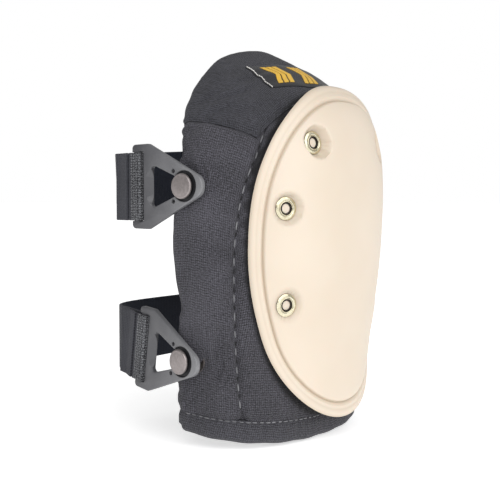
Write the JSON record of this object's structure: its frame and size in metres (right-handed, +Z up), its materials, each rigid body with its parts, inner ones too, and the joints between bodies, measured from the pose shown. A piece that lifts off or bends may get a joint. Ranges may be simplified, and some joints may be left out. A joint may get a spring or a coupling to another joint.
{
  "type": "knee pad",
  "caption": "Hard-capped work knee pad: moulded cap riveted to a padded fabric shell that wraps the knee, with elastic straps and stud-and-triangle quick-release buckles.",
  "frame": {"origin": "centre of the wearer's knee, midway between the wings in the plane of their rear edges, 110 mm above the lower hem", "axes": "+X towards the wing without buckles, -Y forwards through the cap, +Z up the leg"},
  "size_m": [0.168, 0.1408, 0.2278],
  "materials": {
    "cap_shell": "moulded, satin",
    "eyelet_brass": "bright plated",
    "rivet_steel": "plated",
    "backing_plastic": "plain sheet",
    "cover_fabric": "coarse woven nylon",
    "hem_fabric": "folded and stitched",
    "label_weave": "glossy woven label",
    "foam_rubber": "closed-cell foam",
    "cushion_foam": "soft open-cell foam",
    "lining_fabric": "knitted spacer fabric",
    "stud_steel": "satin gunmetal",
    "buckle_plastic": "fine moulded texture",
    "strap_elastic": "ribbed elastic webbing"
  },
  "bodies": {
    "pad": {"cap": "cap_shell", "cap_eyelets": "eyelet_brass", "cap_rivets": "rivet_steel", "rivet_burrs": "rivet_steel", "backing_plate": "backing_plastic", "front_cover": "cover_fabric", "near_side_cover": "cover_fabric", "far_side_cover": "cover_fabric", "thigh_cover": "cover_fabric", "hem_band": "hem_fabric", "label": "label_weave", "foam_core": "foam_rubber", "knee_cushion": "cushion_foam", "lining": "lining_fabric", "stud_washers": "rivet_steel", "upper_strap": "strap_elastic", "lower_strap": "strap_elastic"},
    "upper_stud_turn": {"upper_stud": "stud_steel"},
    "upper_buckle": {"upper_buckle": "buckle_plastic", "upper_strap_end": "strap_elastic"},
    "upper_tab": {"upper_strap_tab": "strap_elastic"},
    "lower_stud_turn": {"lower_stud": "stud_steel"},
    "lower_buckle": {"lower_buckle": "buckle_plastic", "lower_strap_end": "strap_elastic"},
    "lower_tab": {"lower_strap_tab": "strap_elastic"}
  },
  "joints": [
    {"name": "upper_buckle_swivel", "type": "hinge", "parent": "pad", "child": "upper_stud_turn", "pos_m": [-0.0817, -0.011, 0.026], "axis": [-0.9991, 0.0419, 0], "range_deg": [-12, 12], "stiffness_Nm_per_rad": 0.05},
    {"name": "upper_buckle_release", "type": "slide", "parent": "upper_stud_turn", "child": "upper_buckle", "axis": [-0.0419, -0.9991, 0], "range_m": [0, 0.016], "stiffness_N_per_m": 250, "springref_m": -0.01},
    {"name": "upper_tab_peel", "type": "hinge", "parent": "upper_buckle", "child": "upper_tab", "pos_m": [-0.08272, 0.02913, 0.026], "axis": [0, 0, 1], "range_deg": [0, 110]},
    {"name": "lower_buckle_swivel", "type": "hinge", "parent": "pad", "child": "lower_stud_turn", "pos_m": [-0.0818, -0.009, -0.07], "axis": [-0.9833, 0.1822, 0], "range_deg": [-12, 12], "stiffness_Nm_per_rad": 0.05},
    {"name": "lower_buckle_release", "type": "slide", "parent": "lower_stud_turn", "child": "lower_buckle", "axis": [-0.1806, -0.9746, -0.1323], "range_m": [0, 0.016], "stiffness_N_per_m": 250, "springref_m": -0.01},
    {"name": "lower_tab_peel", "type": "hinge", "parent": "lower_buckle", "child": "lower_tab", "pos_m": [-0.07722, 0.03053, -0.0647], "axis": [-0.0241, -0.13, 0.9912], "range_deg": [0, 110]}
  ]
}
